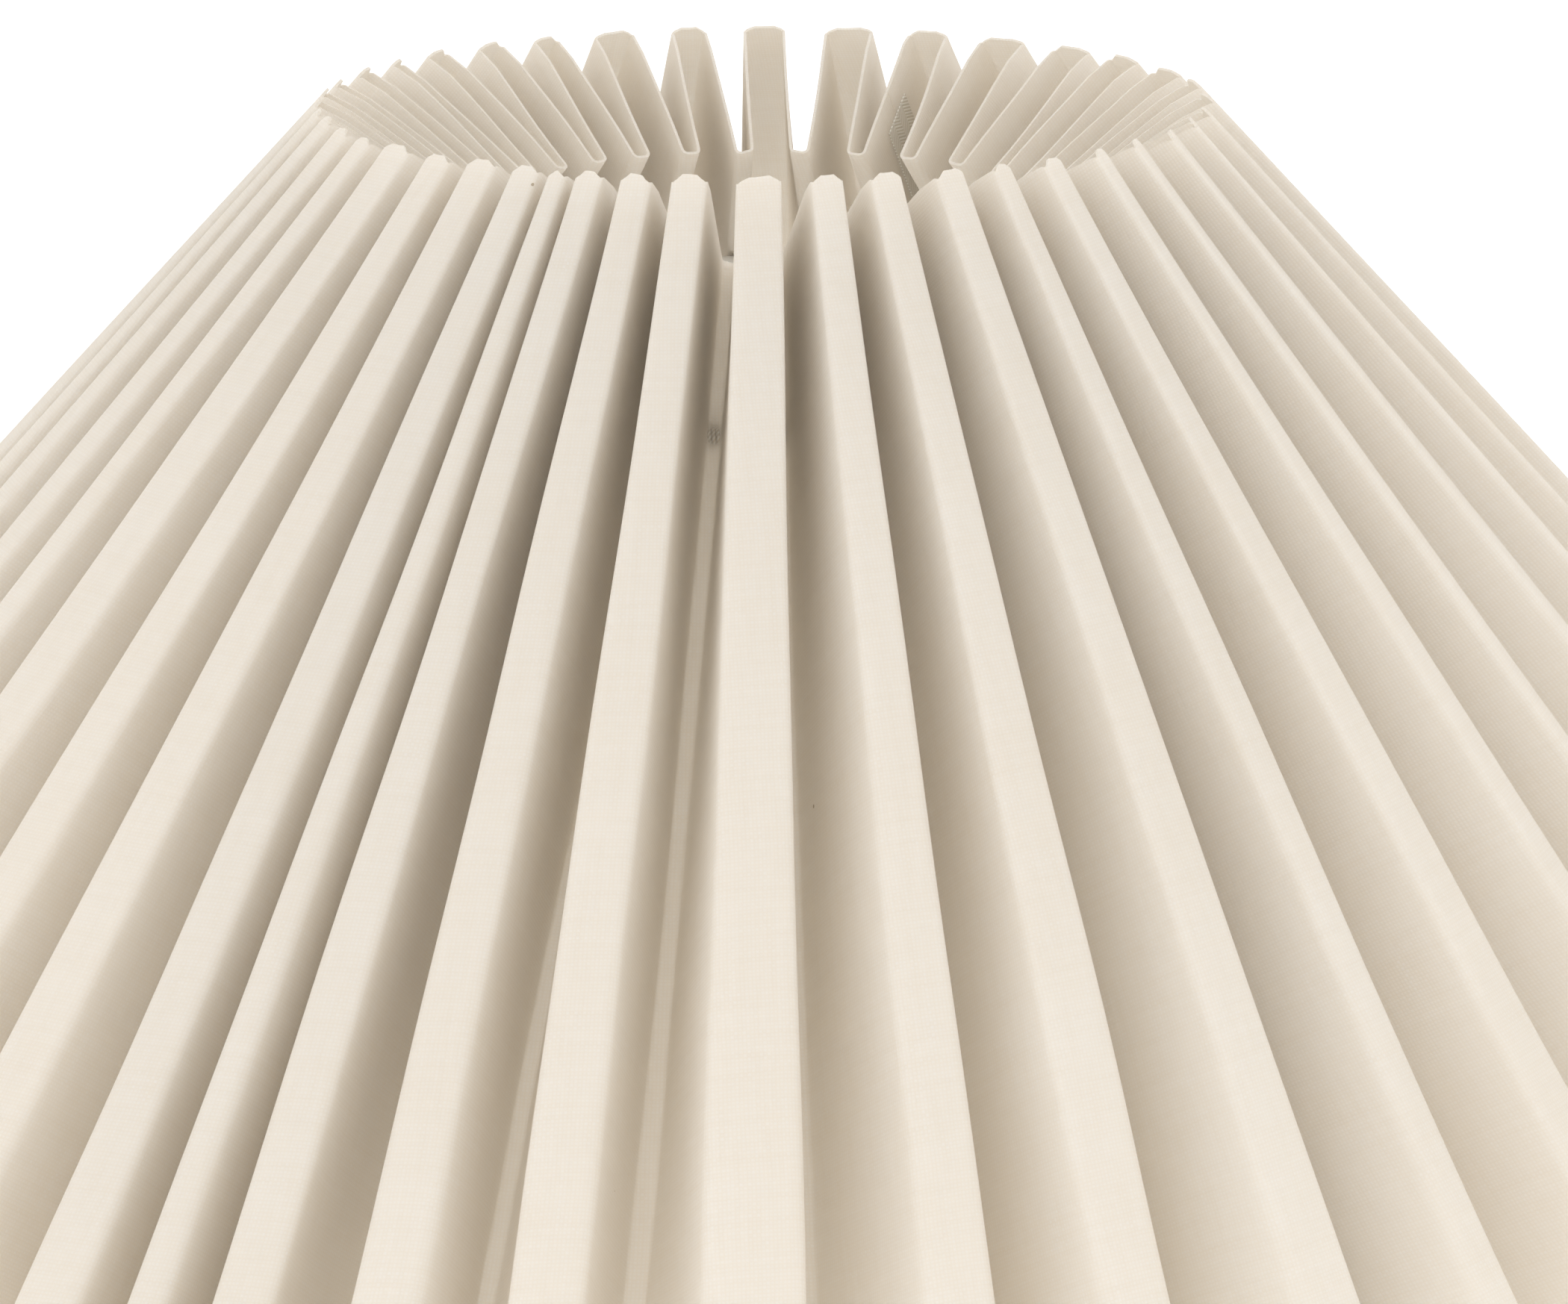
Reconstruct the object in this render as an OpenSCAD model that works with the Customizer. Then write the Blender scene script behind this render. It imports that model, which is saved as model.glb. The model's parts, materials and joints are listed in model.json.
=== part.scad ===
// Box-pleated conical lamp shade: three pleated linen panels on a welded wire frame.
// Millimetres, +Z up. The origin is the centre of the fitter ring's hole.

/* [Cover] */
// Radius of the cover at its top edge, to the middle of a pleat's flat
cover_top_r = 75; // [60:1:110]
// Radius of the cover at its bottom edge, to the middle of a pleat's flat
cover_bottom_r = 225; // [185:1:280]
// Height of a pleat's flat, from its top edge to its bottom edge
cover_h = 160; // [125:1:200]
// Thickness of the backed linen
cloth_t = 0.5; // [0.3:0.1:0.8]

/* [Pleats] */
// Number of box pleats, shared equally by the panels
pleat_count = 42; // [36:3:45]
// Width of a pleat's flat at the top edge
flat_top_w = 5.8; // [4:0.1:7]
// Width of a pleat's flat at the bottom edge
flat_bottom_w = 12.5; // [10:0.5:16]
// Width of an inner fold at the top edge
fold_top_w = 2.2; // [1.4:0.1:2.6]
// Width of an inner fold at the bottom edge
fold_bottom_w = 3; // [2:0.1:6]
// Depth of the pleats at the top edge
depth_top = 25; // [16:0.5:28]
// Depth of the pleats at the bottom edge
depth_bottom = 21.5; // [14:0.5:30]
// How far the inner folds start below the flats
fold_drop = 18.5; // [8:0.5:24]
// Turn of the whole row of pleats about the axis, in degrees
pleat_turn = 9.2; // [0:0.1:12]
// How much closer the pleats stand on the gathered side, as a share
gather = 0.27; // [0:0.01:0.3]
// Direction of the gathered side, in degrees from the front
gather_direction = -29; // [-180:1:180]
// How much closer still the pleats stand where they are pinched, as a share
pinch = 0.39; // [0:0.01:0.4]
// Direction of the pinch, in degrees from the front
pinch_direction = -24.4; // [-180:0.1:180]
// How far the pinch reaches to each side, in degrees
pinch_reach = 20; // [15:1:40]
// How far a pleat strays from its even place, in degrees
stray = 0.3; // [0:0.1:0.6]
// How much the flats differ in width round the cover, as a share
flat_vary = 0.2; // [0:0.05:0.2]
// Direction of the widest flats, in degrees from the front
flat_vary_direction = -15; // [-90:5:90]
// How far a flat's width strays from even, as a share
flat_stray = 0.14; // [0:0.01:0.15]
// Turn of each flat about its own middle, in degrees
lean = -12; // [-12:1:12]
// How much that turn differs round the cover, in degrees
lean_vary = -10; // [-10:1:10]
// Direction in which the turn is even, in degrees from the front
lean_vary_direction = -10; // [-180:5:180]
// How far an inner fold swings round for each degree of its neighbours' turn
fold_follow = 0.12; // [0:0.01:0.12]

/* [Panels] */
// Number of cloth panels joined into the cover
panel_count = 3; // [3:1:3]
// Gap between two panels where they meet
seam_gap = 0.1; // [0.05:0.05:0.5]
// Pleat after which a seam falls, counted from the front towards +X
seam_pleat = 3; // [0:1:13]
// Width of the tape glued behind a seam
tape_w = 10; // [5:0.5:12]
// Thickness of the seam tape
tape_t = 0.3; // [0.2:0.1:0.5]

/* [Frame] */
// Diameter of the top and bottom ring wire
ring_wire_d = 4; // [3:0.1:5]
// Diameter of the strut wire
strut_wire_d = 3; // [2:0.1:3.6]
// Height of the top ring's wire below the top edge of the cover
top_ring_drop = 44; // [28:0.5:48]
// Height of the bottom ring's wire above the lowest point of the cover
bottom_ring_rise = 10; // [6:0.5:20]
// Number of struts between the rings
strut_count = 6; // [6:1:6]
// Gap between a ring's wire and the inner folds
ring_gap = 0.2; // [0.1:0.05:0.5]

/* [Fitter] */
// Diameter of the fitter ring's hole
fitter_hole_d = 42; // [28:0.5:44]
// Width of the fitter ring, from its hole to its outer edge
fitter_band = 8; // [6:0.5:10]
// Thickness of the fitter ring
fitter_t = 2; // [1.5:0.1:3]
// Height of the fitter ring below the top ring
fitter_drop = 14; // [6:0.5:20]
// Diameter of the spider arm wire
arm_wire_d = 3.5; // [2.5:0.1:4]
// Number of spider arms
arm_count = 3; // [3:1:3]
// Length of an arm's level ends
arm_end = 6; // [5:0.5:8]
// How much wider than its wire an arm is where it bends
arm_knuckle = 0.4; // [0.2:0.1:1]

/* [Stitches] */
// Diameter of the sewing thread
thread_d = 0.7; // [0.4:0.1:1]
// Share of an inner fold that a stitch covers
stitch_share = 0.8; // [0.4:0.05:0.9]

/* [Hidden] */
$fn = 64;

linen = [0.93, 0.90, 0.84];
tape_white = [0.96, 0.95, 0.92];
enamel_white = [0.94, 0.94, 0.93];
thread_ecru = [0.90, 0.87, 0.80];

// Heights, worked down from the top edge of the cover.
cover_top_z = top_ring_drop + fitter_drop;
cover_bottom_z = cover_top_z - cover_h;
fold_top_z = cover_top_z - fold_drop;
top_ring_z = fitter_drop;

// The inner folds are as long as the flats, because one strip of cloth makes both.
fold_top_r = cover_top_r - depth_top;
fold_bottom_r = cover_bottom_r - depth_bottom;
strip_w = norm([cover_bottom_r - cover_top_r, cover_h]);
fold_h = sqrt(strip_w ^ 2 - (fold_bottom_r - fold_top_r) ^ 2);
fold_bottom_z = fold_top_z - fold_h;
bottom_ring_z = fold_bottom_z + bottom_ring_rise;

// Slopes of the flats and of the inner folds, away from upright.
flat_slope = atan2(cover_bottom_r - cover_top_r, cover_h);
fold_slope = atan2(fold_bottom_r - fold_top_r, fold_h);

// Radius at which a ring's wire lies against the inner folds at a height.
function fold_r(z) = fold_top_r + (fold_top_z - z) * tan(fold_slope);
wire_inset = (cloth_t + ring_gap + ring_wire_d / 2) / cos(fold_slope);
top_ring_r = fold_r(top_ring_z) - wire_inset;
bottom_ring_r = fold_r(bottom_ring_z) - wire_inset;
fitter_r = fitter_hole_d / 2 + fitter_band;

// Azimuths run from the front, -Y, towards +X.
function around(azimuth) = [sin(azimuth), -cos(azimuth)];
function along(azimuth) = [cos(azimuth), sin(azimuth)];

// Even places, drawn together on the gathered side and strayed a little by hand.
golden_turn = 137.5;
spread_passes = 30;
function spread(even, guess, left) = left == 0
    ? guess
    : spread(even, even - gather * (180 / PI) * sin(guess), left - 1);
function even_place(k) = k * 360 / pleat_count + pleat_turn - gather_direction;
function lap(k) = (k + pleat_count) % pleat_count;
function gathered(k) = spread(even_place(k), even_place(k), spread_passes) + gather_direction;
function from_pinch(azimuth) =
    azimuth - pinch_direction - 360 * round((azimuth - pinch_direction) / 360);
function pinched(azimuth) =
    azimuth - pinch * from_pinch(azimuth) * exp(-(from_pinch(azimuth) / pinch_reach) ^ 2);
function pleat_azimuth(k) = pinched(gathered(k)) + stray * sin(lap(k) * golden_turn);
function valley_azimuth(k) = (pleat_azimuth(k) + pleat_azimuth(k + 1)) / 2;
function lean_at(k) = lean + lean_vary * sin(pleat_azimuth(k) - lean_vary_direction);
function fold_azimuth(k) = valley_azimuth(k) + fold_follow * (lean_at(k) + lean_at(k + 1)) / 2;

// A crowded pleat is narrower in proportion, and one with more room is a little wider.
function width_for(room) = min(room, sqrt(room));
function share_of_room(angle) = width_for(angle * pleat_count / 360);
function flat_habit(k) = 1 + flat_vary * cos(2 * (pleat_azimuth(k) - flat_vary_direction))
    + flat_stray * cos(lap(k) * golden_turn);
function flat_share(k) = share_of_room(valley_azimuth(k) - valley_azimuth(k - 1)) * flat_habit(k);
function fold_share(k) = share_of_room(pleat_azimuth(k + 1) - pleat_azimuth(k));

// One end of a flat or an inner fold: side is -1 or 1, turn tips it about its middle.
function crease(azimuth, r, half_w, side, turn) = r * around(azimuth)
    + side * half_w * (cos(turn) * along(azimuth) + sin(turn) * around(azimuth));

// The cover's outer line at one level: flat, wall, inner fold, wall, and so on round.
function level_line(r, w, r_in, w_in) = [
    for (k = [0 : pleat_count - 1]) each [
        crease(pleat_azimuth(k), r, w * flat_share(k) / 2, -1, lean_at(k)),
        crease(pleat_azimuth(k), r, w * flat_share(k) / 2, 1, lean_at(k)),
        crease(fold_azimuth(k), r_in, w_in * fold_share(k) / 2, -1, 0),
        crease(fold_azimuth(k), r_in, w_in * fold_share(k) / 2, 1, 0)
    ]
];

// Level thickness of the cloth in each of the four faces of a pleat.
level_t = [cloth_t / cos(flat_slope), cloth_t, cloth_t / cos(fold_slope), cloth_t];

function wrap(i) = (i + 4 * pleat_count) % (4 * pleat_count);
function face_normal(line, i) =
    let (step = line[wrap(i + 1)] - line[wrap(i)])
    [-step.y, step.x] / norm(step);

// The same line on the lamp's side of the cloth, with mitred corners.
function inner_point(line, i) =
    let (before = face_normal(line, i - 1))
    let (after = face_normal(line, i))
    let (t_before = level_t[wrap(i - 1) % 4])
    let (t_after = level_t[wrap(i) % 4])
    let (turn = before.x * after.y - before.y * after.x)
    line[wrap(i)] + [
        t_before * after.y - t_after * before.y,
        t_after * before.x - t_before * after.x
    ] / turn;
function inner_line(line) = [for (i = [0 : 4 * pleat_count - 1]) inner_point(line, i)];

top_out = level_line(cover_top_r, flat_top_w, fold_top_r, fold_top_w);
bottom_out = level_line(cover_bottom_r, flat_bottom_w, fold_bottom_r, fold_bottom_w);
top_in = inner_line(top_out);
bottom_in = inner_line(bottom_out);
function is_fold(i) = wrap(i) % 4 > 1;
function top_z(i) = is_fold(i) ? fold_top_z : cover_top_z;
function bottom_z(i) = is_fold(i) ? fold_bottom_z : cover_bottom_z;

function top_point(line, i) = [each line[wrap(i)], top_z(i)];
function bottom_point(line, i) = [each line[wrap(i)], bottom_z(i)];
function mix(a, b, share) = a + (b - a) * share;

// A section of cloth is its outer face's edge from top to bottom, then its lamp side's back up.
rows = 4;
function section(out_top, out_bottom, in_top, in_bottom) = concat(
    [for (row = [0 : rows]) mix(out_top, out_bottom, row / rows)],
    [for (row = [rows : -1 : 0]) mix(in_top, in_bottom, row / rows)]
);
function crease_section(i) = section(
    top_point(top_out, i), bottom_point(bottom_out, i), top_point(top_in, i), bottom_point(bottom_in, i)
);
function wall_section(i, share) =
    let (a = crease_section(i))
    let (b = crease_section(i + 1))
    [for (c = [0 : len(a) - 1]) mix(a[c], b[c], share)];

// A closed strip of sections. Both sides of the cloth are split along the same diagonals.
module strip(sections) {
    size = 2 * (rows + 1);
    end = size * (len(sections) - 1);
    sides = [
        for (s = [0 : len(sections) - 2], c = [0 : size - 1])
            let (a = size * s + c)
            let (b = size * s + (c + 1) % size)
            each c > rows
                ? [[a, b, a + size], [b, b + size, a + size]]
                : [[a, b, b + size], [a, b + size, a + size]]
    ];
    caps = [
        for (row = [0 : rows - 1])
            let (a = row)
            let (b = size - 1 - row)
            each [
                [a, b, b - 1], [a, b - 1, a + 1],
                [end + a, end + b - 1, end + b], [end + a, end + a + 1, end + b - 1]
            ]
    ];
    polyhedron(points = [for (section = sections) each section], faces = concat(sides, caps));
}

// Each panel ends half way along a wall, at the seams.
panel_creases = 4 * pleat_count / panel_count;
function seam_wall(p) = p * panel_creases + 4 * seam_pleat + 1;
function seam_share(p, width) =
    let (wall = seam_wall(p))
    width / norm(top_point(top_out, wall) - top_point(top_out, wall + 1));

module cover_panel(p) {
    first = seam_wall(p);
    last = seam_wall(p + 1);
    start = [
        wall_section(first, 0.5 + seam_share(p, seam_gap) / 2),
        wall_section(first, 0.5 + seam_share(p, tape_w) / 2)
    ];
    middle = [for (i = [first + 1 : last]) crease_section(i)];
    end = [
        wall_section(last, 0.5 - seam_share(p + 1, tape_w) / 2),
        wall_section(last, 0.5 - seam_share(p + 1, seam_gap) / 2)
    ];
    color(linen)
        strip(concat(start, middle, end));
}

// A wall twists from top to bottom, so its facets stand off its true surface by a little.
function wall_twist(wall) =
    let (top = top_point(top_out, wall + 1) - top_point(top_out, wall))
    let (bottom = bottom_point(bottom_out, wall + 1) - bottom_point(bottom_out, wall))
    let (down = bottom_point(bottom_out, wall) - top_point(top_out, wall))
    let (normal = cross(down, top))
    abs((bottom - top) * normal) / norm(normal);
function facet_sag(wall, share) = wall_twist(wall) * share / (4 * rows);

// Tape lies on the lamp's side of the seam, its ends short of the cloth's edges.
tape_clear = 0.05;
tape_margin = 0.03;
module seam_tape(p) {
    wall = seam_wall(p);
    half = seam_share(p, tape_w) / 2;
    near = tape_clear + 2 * facet_sag(wall, half);
    function lamp_side(share, down, lift) =
        let (top = mix(top_point(top_in, wall), top_point(top_in, wall + 1), share))
        let (bottom = mix(bottom_point(bottom_in, wall), bottom_point(bottom_in, wall + 1), share))
        let (away = mix(face_normal(top_out, wall), face_normal(bottom_out, wall), down))
        mix(top, bottom, down) + lift * [each away, 0];
    function tape_section(share) = section(
        lamp_side(share, tape_margin, near),
        lamp_side(share, 1 - tape_margin, near),
        lamp_side(share, tape_margin, near + tape_t),
        lamp_side(share, 1 - tape_margin, near + tape_t)
    );
    color(tape_white)
        strip([tape_section(0.5 - half), tape_section(0.5), tape_section(0.5 + half)]);
}

module wire_ring(r, z, wire_d) {
    translate([0, 0, z])
        rotate_extrude()
            translate([r, 0])
                circle(d = wire_d);
}

module top_ring() {
    color(enamel_white)
        wire_ring(top_ring_r, top_ring_z, ring_wire_d);
}

module bottom_ring() {
    color(enamel_white)
        wire_ring(bottom_ring_r, bottom_ring_z, ring_wire_d);
}

// Struts lie between the arms and are cut to sit on both rings.
function strut_azimuth(n) = (n - 1) * 360 / strut_count;
strut_h = top_ring_z - bottom_ring_z;
strut_run = bottom_ring_r - top_ring_r;
module strut(n) {
    color(enamel_white)
        difference() {
            rotate([0, 0, strut_azimuth(n)])
                translate([top_ring_r, 0, top_ring_z])
                    rotate([0, 180 - atan2(strut_run, strut_h), 0])
                        cylinder(h = norm([strut_run, strut_h]), d = strut_wire_d);
            wire_ring(top_ring_r, top_ring_z, ring_wire_d);
            wire_ring(bottom_ring_r, bottom_ring_z, ring_wire_d);
        }
}

fitter_edge = 0.4;
module fitter_ring() {
    color(enamel_white)
        rotate_extrude()
            polygon([
                [fitter_hole_d / 2, -fitter_t / 2],
                [fitter_r - fitter_edge, -fitter_t / 2],
                [fitter_r, fitter_edge - fitter_t / 2],
                [fitter_r, fitter_t / 2 - fitter_edge],
                [fitter_r - fitter_edge, fitter_t / 2],
                [fitter_hole_d / 2, fitter_t / 2]
            ]);
}

// An arm leaves the fitter ring level, climbs, and meets the top ring level.
function arm_azimuth(n) = 90 + (n - 1) * 360 / arm_count;
arm_run = top_ring_r - fitter_r - 2 * arm_end;
arm_angle = atan2(fitter_drop, arm_run);
arm_slope_l = norm([arm_run, fitter_drop]);
module arm_straight(length) {
    rotate([0, 90, 0])
        cylinder(h = length, d = arm_wire_d);
}
module arm_bend() {
    sphere(d = arm_wire_d + arm_knuckle);
}
module arm_wire() {
    low = [fitter_r + arm_end, 0, 0];
    high = [top_ring_r - arm_end, fitter_drop, 0];
    sunk = arm_wire_d / 2;
    translate(low - [arm_end + sunk, 0, 0])
        arm_straight(arm_end + sunk);
    translate(low) {
        arm_bend();
        rotate([0, 0, arm_angle])
            arm_straight(arm_slope_l);
    }
    translate(high) {
        arm_bend();
        arm_straight(arm_end);
    }
}
module spider_arm(n) {
    color(enamel_white)
        difference() {
            rotate([0, 0, arm_azimuth(n)])
                rotate([90, 0, 0])
                    arm_wire();
            cylinder(h = 2 * arm_wire_d, r = fitter_r, center = true);
            wire_ring(top_ring_r, top_ring_z, ring_wire_d);
        }
}

// Whip stitches: one loop of thread round the wire at each inner fold, its ends in the cloth.
stitch_clear = 0.05;
module stitch_section() {
    cut_x = ring_wire_d / 2 + ring_gap - stitch_clear;
    size = 2 * ring_wire_d;
    difference() {
        circle(d = ring_wire_d + 2 * thread_d);
        circle(d = ring_wire_d);
        rotate([0, 0, fold_slope])
            translate([cut_x, -size / 2])
                square([size, size]);
    }
}
module stitches(r, z, fold_w) {
    for (k = [0 : pleat_count - 1]) {
        angle = stitch_share * fold_w * fold_share(k) / r * 180 / PI;
        translate([0, 0, z])
            rotate([0, 0, fold_azimuth(k) - 90 - angle / 2])
                rotate_extrude(angle = angle)
                    translate([r, 0])
                        stitch_section();
    }
}

function fold_width_at(z) = mix(fold_top_w, fold_bottom_w, (fold_top_z - z) / fold_h);

module top_stitches() {
    color(thread_ecru)
        stitches(top_ring_r, top_ring_z, fold_width_at(top_ring_z));
}

module bottom_stitches() {
    color(thread_ecru)
        stitches(bottom_ring_r, bottom_ring_z, fold_width_at(bottom_ring_z));
}

cover_panel(1);  // cover_panel_1
cover_panel(2);  // cover_panel_2
cover_panel(3);  // cover_panel_3
seam_tape(1);  // seam_tape_1
seam_tape(2);  // seam_tape_2
seam_tape(3);  // seam_tape_3
top_ring();
bottom_ring();
strut(1);  // strut_1
strut(2);  // strut_2
strut(3);  // strut_3
strut(4);  // strut_4
strut(5);  // strut_5
strut(6);  // strut_6
fitter_ring();
spider_arm(1);  // spider_arm_1
spider_arm(2);  // spider_arm_2
spider_arm(3);  // spider_arm_3
top_stitches();
bottom_stitches();
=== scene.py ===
"""Looks of a box-pleated conical lamp shade.

Three pleated linen panels, the tapes behind their seams, the white wire frame they are sewn to and
the stitches that hold them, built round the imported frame. Metres, +Z up; sizes are given in
millimetres and turned to metres as each mesh is finished.
"""

import json
import logging
import math
from dataclasses import dataclass, field
from enum import Enum
from typing import Any, Callable, Sequence

import bmesh
import bpy
import numpy as np
from mathutils import Euler, Matrix, Vector

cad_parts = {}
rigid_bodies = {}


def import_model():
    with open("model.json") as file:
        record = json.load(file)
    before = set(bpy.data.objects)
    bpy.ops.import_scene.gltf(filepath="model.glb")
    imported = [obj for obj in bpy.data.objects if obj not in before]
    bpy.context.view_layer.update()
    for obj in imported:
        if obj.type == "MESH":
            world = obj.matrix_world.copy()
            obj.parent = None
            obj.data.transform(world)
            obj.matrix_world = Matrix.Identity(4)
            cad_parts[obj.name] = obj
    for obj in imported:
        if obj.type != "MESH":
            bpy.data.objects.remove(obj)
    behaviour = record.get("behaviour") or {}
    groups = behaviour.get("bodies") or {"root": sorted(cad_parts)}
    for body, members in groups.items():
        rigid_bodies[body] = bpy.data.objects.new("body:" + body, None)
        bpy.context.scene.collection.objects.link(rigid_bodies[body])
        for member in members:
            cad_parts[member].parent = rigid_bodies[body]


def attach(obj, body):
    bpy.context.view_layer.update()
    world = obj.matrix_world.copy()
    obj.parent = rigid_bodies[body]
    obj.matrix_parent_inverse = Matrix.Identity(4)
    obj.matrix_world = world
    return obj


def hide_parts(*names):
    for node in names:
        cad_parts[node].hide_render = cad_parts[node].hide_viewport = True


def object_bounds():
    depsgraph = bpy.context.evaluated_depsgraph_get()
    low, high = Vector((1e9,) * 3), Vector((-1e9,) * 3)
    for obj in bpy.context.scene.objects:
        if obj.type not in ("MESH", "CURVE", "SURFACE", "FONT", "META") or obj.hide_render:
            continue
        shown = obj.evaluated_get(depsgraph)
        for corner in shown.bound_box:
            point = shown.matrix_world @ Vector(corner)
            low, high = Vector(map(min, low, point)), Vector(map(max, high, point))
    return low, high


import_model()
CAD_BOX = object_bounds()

LOG = logging.getLogger("lamp_shade")
MM = 0.001
BODY = "root"


class Slot(Enum):
    """The record's material slots."""

    LINEN = "linen"
    TAPE = "tape"
    FRAME_WIRE = "frame_wire"
    THREAD = "thread"


class Face(Enum):
    """The four faces of a pleat, in their order round the cover."""

    FLAT = 0
    WALL_DOWN = 1
    FOLD = 2
    WALL_UP = 3


# ---------------------------------------------------------------------------------------------
# Places of the pleats, as in the part's source
# ---------------------------------------------------------------------------------------------


def around(azimuth: float) -> np.ndarray:
    """Gives the outward direction at an azimuth in degrees, from -Y towards +X."""
    turn = math.radians(azimuth)
    return np.array([math.sin(turn), -math.cos(turn), 0.0])


def along(azimuth: float) -> np.ndarray:
    """Gives the direction of rising azimuth at an azimuth in degrees."""
    turn = math.radians(azimuth)
    return np.array([math.cos(turn), math.sin(turn), 0.0])


@dataclass(frozen=True)
class PleatLayout:
    """Where the pleats stand round the cover, in degrees."""

    count: int = 42
    turn: float = 9.2
    gather: float = 0.27
    gather_direction: float = -29.0
    pinch: float = 0.39
    pinch_direction: float = -24.4
    pinch_reach: float = 20.0
    stray: float = 0.3
    golden_turn: float = 137.5
    passes: int = 30
    flat_vary: float = 0.2
    flat_vary_direction: float = -15.0
    flat_stray: float = 0.14
    lean: float = -12.0
    lean_vary: float = -10.0
    lean_vary_direction: float = -10.0
    fold_follow: float = 0.12

    def gathered(self, k: int) -> float:
        """Gives the place of pleat k, drawn towards the gathered side."""
        even = k * 360 / self.count + self.turn - self.gather_direction
        place = even
        for _ in range(self.passes):
            place = even - self.gather * math.degrees(math.sin(math.radians(place)))
        return place + self.gather_direction

    def pleat(self, k: int) -> float:
        """Gives the azimuth of the middle of flat k."""
        place = self.gathered(k)
        off = place - self.pinch_direction
        off -= 360 * round(off / 360)
        pinched = place - self.pinch * off * math.exp(-((off / self.pinch_reach) ** 2))
        lap = (k + self.count) % self.count
        return pinched + self.stray * math.sin(math.radians(lap * self.golden_turn))

    def valley(self, k: int) -> float:
        """Gives the azimuth half way from flat k to the next."""
        return (self.pleat(k) + self.pleat(k + 1)) / 2

    def lean_at(self, k: int) -> float:
        """Gives flat k's turn about its own middle."""
        turn = math.sin(math.radians(self.pleat(k) - self.lean_vary_direction))
        return self.lean + self.lean_vary * turn

    def fold(self, k: int) -> float:
        """Gives the azimuth of inner fold k, which swings round with its neighbours' turn."""
        return self.valley(k) + self.fold_follow * (self.lean_at(k) + self.lean_at(k + 1)) / 2

    def _share_of_room(self, angle: float) -> float:
        """Turns the room round a face into its share of the named width."""
        room = angle * self.count / 360
        return min(room, math.sqrt(room))

    def flat_share(self, k: int) -> float:
        """Gives flat k's share of the named flat width."""
        lap = (k + self.count) % self.count
        habit = 1 + self.flat_stray * math.cos(math.radians(lap * self.golden_turn))
        wave = math.cos(2 * math.radians(self.pleat(k) - self.flat_vary_direction))
        room = self._share_of_room(self.valley(k) - self.valley(k - 1))
        return room * (habit + self.flat_vary * wave)

    def fold_share(self, k: int) -> float:
        """Gives inner fold k's share of the named fold width."""
        return self._share_of_room(self.pleat(k + 1) - self.pleat(k))


@dataclass(frozen=True)
class CoverSizes:
    """Driving sizes of the cover, in millimetres and degrees, as in the part's source."""

    top_r: float = 75.0
    bottom_r: float = 225.0
    height: float = 160.0
    cloth_t: float = 0.5
    flat_top_w: float = 5.8
    flat_bottom_w: float = 12.5
    fold_top_w: float = 2.2
    fold_bottom_w: float = 3.0
    depth_top: float = 25.0
    depth_bottom: float = 21.5
    fold_drop: float = 18.5
    panels: int = 3
    seam_gap: float = 0.1
    seam_pleat: int = 3
    tape_w: float = 10.0
    tape_t: float = 0.3
    tape_clear: float = 0.05
    tape_margin: float = 0.03
    ring_wire_d: float = 4.0
    strut_wire_d: float = 3.0
    arm_wire_d: float = 3.5
    top_ring_drop: float = 44.0
    bottom_ring_rise: float = 10.0
    ring_gap: float = 0.2
    fitter_hole_d: float = 42.0
    fitter_band: float = 8.0
    fitter_t: float = 2.0
    fitter_drop: float = 14.0
    arm_end: float = 6.0
    thread_d: float = 0.7
    stitch_share: float = 0.8

    @property
    def top_z(self) -> float:
        """Height of the flats' top edge over the fitter."""
        return self.top_ring_drop + self.fitter_drop

    @property
    def bottom_z(self) -> float:
        """Height of the flats' bottom edge."""
        return self.top_z - self.height

    @property
    def fold_top_z(self) -> float:
        """Height of the inner folds' top edge."""
        return self.top_z - self.fold_drop

    @property
    def fold_top_r(self) -> float:
        """Radius of the inner folds at their top."""
        return self.top_r - self.depth_top

    @property
    def fold_bottom_r(self) -> float:
        """Radius of the inner folds at their bottom."""
        return self.bottom_r - self.depth_bottom

    @property
    def strip_w(self) -> float:
        """Width of the strip of cloth, which is the length of every crease."""
        return math.hypot(self.bottom_r - self.top_r, self.height)

    @property
    def fold_h(self) -> float:
        """Height that the inner folds cover."""
        return math.sqrt(self.strip_w**2 - (self.fold_bottom_r - self.fold_top_r) ** 2)

    @property
    def fold_bottom_z(self) -> float:
        """Height of the inner folds' bottom edge, the lowest of the cover."""
        return self.fold_top_z - self.fold_h

    @property
    def fold_slope(self) -> float:
        """Slope of the inner folds away from upright, in radians."""
        return math.atan2(self.fold_bottom_r - self.fold_top_r, self.fold_h)

    @property
    def top_ring_z(self) -> float:
        """Height of the top ring's wire."""
        return self.fitter_drop

    @property
    def bottom_ring_z(self) -> float:
        """Height of the bottom ring's wire."""
        return self.fold_bottom_z + self.bottom_ring_rise

    @property
    def fitter_r(self) -> float:
        """Outer radius of the fitter ring."""
        return self.fitter_hole_d / 2 + self.fitter_band

    def ring_r(self, z: float) -> float:
        """Gives the radius of a ring's wire that lies against the inner folds at a height."""
        fold_r = self.fold_top_r + (self.fold_top_z - z) * math.tan(self.fold_slope)
        inset = self.cloth_t + self.ring_gap + self.ring_wire_d / 2
        return fold_r - inset / math.cos(self.fold_slope)

    def fold_width_at(self, z: float) -> float:
        """Gives the named width of an inner fold at a height."""
        share = (self.fold_top_z - z) / self.fold_h
        return self.fold_top_w + (self.fold_bottom_w - self.fold_top_w) * share


# ---------------------------------------------------------------------------------------------
# Node trees
# ---------------------------------------------------------------------------------------------


def linear(hex_colour: str) -> tuple[float, float, float, float]:
    """Turns an sRGB hex colour to linear light.

    Args:
        hex_colour: Six hex digits, such as "f0e8dc".

    Returns:
        Red, green, blue and an alpha of one.
    """
    parts = [int(hex_colour[i : i + 2], 16) / 255 for i in (0, 2, 4)]
    light = [c / 12.92 if c <= 0.04045 else ((c + 0.055) / 1.055) ** 2.4 for c in parts]
    return (light[0], light[1], light[2], 1.0)


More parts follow.
